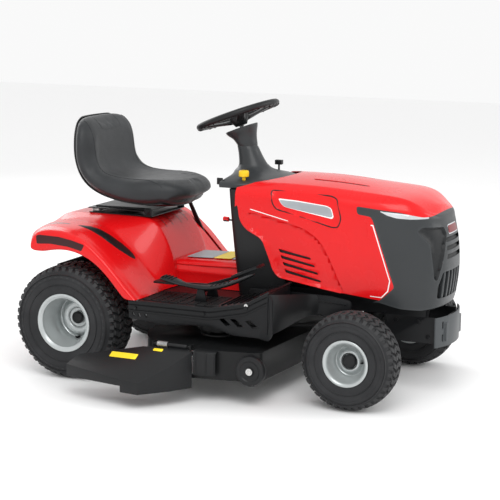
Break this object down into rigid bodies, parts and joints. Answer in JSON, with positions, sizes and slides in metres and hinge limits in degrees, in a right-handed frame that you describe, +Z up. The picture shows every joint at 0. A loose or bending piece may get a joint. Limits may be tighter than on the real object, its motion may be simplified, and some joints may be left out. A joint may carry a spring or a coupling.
{
  "type": "riding lawn mower",
  "caption": "Riding lawn mower with a sloping hood, bucket seat, fender, treaded tyres, a side-discharge mowing deck and a working steering linkage.",
  "frame": {"origin": "on the ground, on the centre plane, midway between the front and rear axles", "axes": "+X forward, +Y to the operator's left, +Z up"},
  "size_m": [1.72, 1.316, 1.1064],
  "materials": {
    "tyre_rubber": "matt moulded rubber",
    "rim_silver": "satin silver paint",
    "body_red": "gloss red paint",
    "body_grey": "satin slate grey moulding",
    "black_plastic": "grained black moulding",
    "black_steel": "satin black paint",
    "deck_paint": "semi-gloss charcoal paint",
    "bumper_paint": "satin grey paint",
    "bright_steel": "machined and zinc plated",
    "cast_aluminium": "as cast",
    "lens_clear": "clear lens over a bright reflector",
    "seat_vinyl": "grained dark grey vinyl",
    "belt_rubber": "cloth-backed rubber",
    "yellow_plastic": "bright yellow moulding"
  },
  "bodies": {
    "chassis": {"frame_rails": "black_steel", "rear_hitch_plate": "black_steel", "axle_bracket": "bumper_paint", "front_bumper": "bumper_paint", "rear_fender": "body_red", "footboard_right": "black_steel", "footboard_left": "black_steel", "dash_cover": "black_plastic", "dash_console": "body_grey", "column_cowl": "body_grey", "engine_block": "cast_aluminium", "engine_shroud": "black_plastic", "muffler": "bright_steel", "fuel_tank": "black_plastic", "battery": "black_plastic", "transaxle_case": "cast_aluminium", "drive_belt": "belt_rubber", "body_bolts": "bright_steel", "seat_base": "black_steel"},
    "hood": {"hood_shell": "body_red", "hood_grille": "body_grey", "headlights": "lens_clear"},
    "front_axle": {"front_axle_beam": "black_steel"},
    "knuckle_right": {"knuckle_right": "black_steel"},
    "knuckle_left": {"knuckle_left": "black_steel"},
    "tie_rod": {"tie_rod": "bright_steel"},
    "drag_link": {"drag_link": "bright_steel"},
    "steering": {"steering_wheel": "black_plastic", "steering_shaft": "bright_steel"},
    "steering_pinion": {"steering_pinion": "bright_steel"},
    "steering_sector": {"steering_sector": "black_steel"},
    "front_wheel_right": {"front_tyre_right": "tyre_rubber", "front_rim_right": "rim_silver"},
    "front_wheel_left": {"front_tyre_left": "tyre_rubber", "front_rim_left": "rim_silver"},
    "rear_wheel_right": {"rear_tyre_right": "tyre_rubber", "rear_rim_right": "rim_silver"},
    "rear_wheel_left": {"rear_tyre_left": "tyre_rubber", "rear_rim_left": "rim_silver"},
    "seat_frame": {"seat_bracket": "black_steel", "seat_springs": "bright_steel"},
    "seat": {"seat_shell": "black_plastic", "seat_cushion": "seat_vinyl"},
    "deck": {"deck_shell": "deck_paint", "deck_belt": "belt_rubber", "belt_covers": "black_plastic"},
    "lift_lever": {"lift_lever": "black_steel"},
    "blade_right": {"blade_right": "bright_steel"},
    "blade_left": {"blade_left": "bright_steel"},
    "engine_pulley": {"engine_pulley": "bright_steel"},
    "transaxle_pulley": {"transaxle_pulley": "bright_steel"},
    "scalp_wheel_right": {"scalp_wheel_right": "black_plastic"},
    "scalp_wheel_left": {"scalp_wheel_left": "black_plastic"},
    "chute": {"discharge_chute": "black_plastic"},
    "drive_pedal": {"drive_pedal": "black_steel"},
    "brake_pedal": {"brake_pedal": "black_steel"},
    "park_lever": {"park_lever": "black_plastic"},
    "ignition_key": {"ignition_key": "black_plastic"},
    "pto_knob": {"pto_knob": "yellow_plastic"},
    "throttle_lever": {"throttle_lever": "black_plastic"}
  },
  "joints": [
    {"name": "hood_hinge", "type": "hinge", "parent": "chassis", "child": "hood", "pos_m": [0.81, 0, 0.365], "axis": [0, 1, 0], "range_deg": [0, 60]},
    {"name": "axle_swing", "type": "hinge", "parent": "chassis", "child": "front_axle", "pos_m": [0.586, 0, 0.236], "axis": [1, 0, 0], "range_deg": [-4, 4]},
    {"name": "knuckle_right_turn", "type": "hinge", "parent": "front_axle", "child": "knuckle_right", "pos_m": [0.586, -0.262, 0.236], "axis": [0, 0, 1], "range_deg": [-27.1, 27.1]},
    {"name": "knuckle_left_turn", "type": "hinge", "parent": "front_axle", "child": "knuckle_left", "pos_m": [0.586, 0.262, 0.236], "axis": [0, 0, 1], "range_deg": [-27.1, 27.1]},
    {"name": "tie_rod_turn", "type": "hinge", "parent": "knuckle_right", "child": "tie_rod", "pos_m": [0.511, -0.262, 0.26], "axis": [0, 0, 1], "range_deg": [-27.1, 27.1]},
    {"name": "drag_link_turn", "type": "hinge", "parent": "knuckle_right", "child": "drag_link", "pos_m": [0.586, -0.187, 0.281], "axis": [0, 0, 1], "range_deg": [-27.1, 27.1]},
    {"name": "steering_turn", "type": "hinge", "parent": "chassis", "child": "steering", "pos_m": [-0.052, 0, 1.036], "axis": [-0.3567, 0, 0.9342], "range_deg": [-216, 216]},
    {"name": "pinion_turn", "type": "hinge", "parent": "chassis", "child": "steering_pinion", "pos_m": [0.16032, 0, 0.26], "axis": [0, 0, 1], "range_deg": [-216.5, 216.5]},
    {"name": "sector_turn", "type": "hinge", "parent": "chassis", "child": "steering_sector", "pos_m": [0.16032, -0.112, 0.26], "axis": [0, 0, 1], "range_deg": [-27.1, 27.1]},
    {"name": "front_wheel_right_spin", "type": "hinge", "parent": "knuckle_right", "child": "front_wheel_right", "pos_m": [0.586, -0.383, 0.186], "axis": [0, 1, 0], "continuous": true},
    {"name": "front_wheel_left_spin", "type": "hinge", "parent": "knuckle_left", "child": "front_wheel_left", "pos_m": [0.586, 0.383, 0.186], "axis": [0, 1, 0], "continuous": true},
    {"name": "rear_wheel_right_spin", "type": "hinge", "parent": "chassis", "child": "rear_wheel_right", "pos_m": [-0.586, -0.384, 0.227], "axis": [0, 1, 0], "continuous": true},
    {"name": "rear_wheel_left_spin", "type": "hinge", "parent": "chassis", "child": "rear_wheel_left", "pos_m": [-0.586, 0.384, 0.227], "axis": [0, 1, 0], "continuous": true},
    {"name": "seat_tilt", "type": "hinge", "parent": "chassis", "child": "seat_frame", "pos_m": [-0.375, 0, 0.64], "axis": [0, 1, 0], "range_deg": [0, 35]},
    {"name": "seat_slide", "type": "slide", "parent": "seat_frame", "child": "seat", "axis": [1, 0, 0], "range_m": [-0.03, 0.03]},
    {"name": "deck_lift", "type": "slide", "parent": "chassis", "child": "deck", "axis": [0, 0, 1], "range_m": [-0.055, 0], "deforming": ["deck_belt"]},
    {"name": "lift_lever_turn", "type": "hinge", "parent": "chassis", "child": "lift_lever", "pos_m": [-0.3, 0, 0.28], "axis": [0, 1, 0], "range_deg": [0, 20]},
    {"name": "blade_right_spin", "type": "hinge", "parent": "deck", "child": "blade_right", "pos_m": [-0.005, -0.268, 0.106], "axis": [0, 0, 1], "continuous": true},
    {"name": "blade_left_spin", "type": "hinge", "parent": "deck", "child": "blade_left", "pos_m": [0.045, 0.268, 0.106], "axis": [0, 0, 1], "continuous": true},
    {"name": "engine_pulley_spin", "type": "hinge", "parent": "chassis", "child": "engine_pulley", "pos_m": [0.436, 0, 0.3], "axis": [0, 0, 1], "continuous": true},
    {"name": "transaxle_pulley_spin", "type": "hinge", "parent": "chassis", "child": "transaxle_pulley", "pos_m": [-0.54, 0, 0.3], "axis": [0, 0, 1], "continuous": true},
    {"name": "scalp_wheel_right_spin", "type": "hinge", "parent": "deck", "child": "scalp_wheel_right", "pos_m": [0.25, -0.54, 0.143], "axis": [0, 1, 0], "continuous": true},
    {"name": "scalp_wheel_left_spin", "type": "hinge", "parent": "deck", "child": "scalp_wheel_left", "pos_m": [0.25, 0.54, 0.143], "axis": [0, 1, 0], "continuous": true},
    {"name": "chute_hinge", "type": "hinge", "parent": "deck", "child": "chute", "pos_m": [-0.066, -0.56, 0.212], "axis": [-1, 0, 0], "range_deg": [0, 60], "stiffness_Nm_per_rad": 6, "springref_deg": -28.65},
    {"name": "drive_pedal_turn", "type": "hinge", "parent": "chassis", "child": "drive_pedal", "pos_m": [-0.03, -0.33, 0.392], "axis": [0, 1, 0], "range_deg": [-10, 10], "stiffness_Nm_per_rad": 20},
    {"name": "brake_pedal_turn", "type": "hinge", "parent": "chassis", "child": "brake_pedal", "pos_m": [0.06, 0.31, 0.392], "axis": [0, 1, 0], "range_deg": [0, 20], "stiffness_Nm_per_rad": 20, "springref_deg": -20.05},
    {"name": "park_lever_turn", "type": "hinge", "parent": "chassis", "child": "park_lever", "pos_m": [0.034, -0.18, 0.64], "axis": [0, 1, 0], "range_deg": [0, 20]},
    {"name": "ignition_key_turn", "type": "hinge", "parent": "chassis", "child": "ignition_key", "pos_m": [0, -0.15, 0.786], "axis": [1, 0, 0], "range_deg": [0, 80]},
    {"name": "pto_knob_pull", "type": "slide", "parent": "chassis", "child": "pto_knob", "axis": [0, 0, 1], "range_m": [0, 0.012]},
    {"name": "throttle_turn", "type": "hinge", "parent": "chassis", "child": "throttle_lever", "pos_m": [0.078, 0.122, 0.776], "axis": [0, 1, 0], "range_deg": [-20, 20]}
  ],
  "couplings": [
    {"joint": "knuckle_right_turn", "follows": "steering_turn", "ratio": 0.125},
    {"joint": "knuckle_left_turn", "follows": "steering_turn", "ratio": 0.125},
    {"joint": "tie_rod_turn", "follows": "steering_turn", "ratio": -0.125},
    {"joint": "drag_link_turn", "follows": "steering_turn", "ratio": -0.125},
    {"joint": "pinion_turn", "follows": "steering_turn", "ratio": 1},
    {"joint": "sector_turn", "follows": "steering_turn", "ratio": 0.125},
    {"joint": "lift_lever_turn", "follows": "deck_lift", "rad_per_m": -6.3},
    {"joint": "blade_left_spin", "follows": "blade_right_spin", "ratio": 1},
    {"joint": "engine_pulley_spin", "follows": "blade_right_spin", "ratio": 1.16},
    {"joint": "transaxle_pulley_spin", "follows": "blade_right_spin", "ratio": 0.73467}
  ]
}
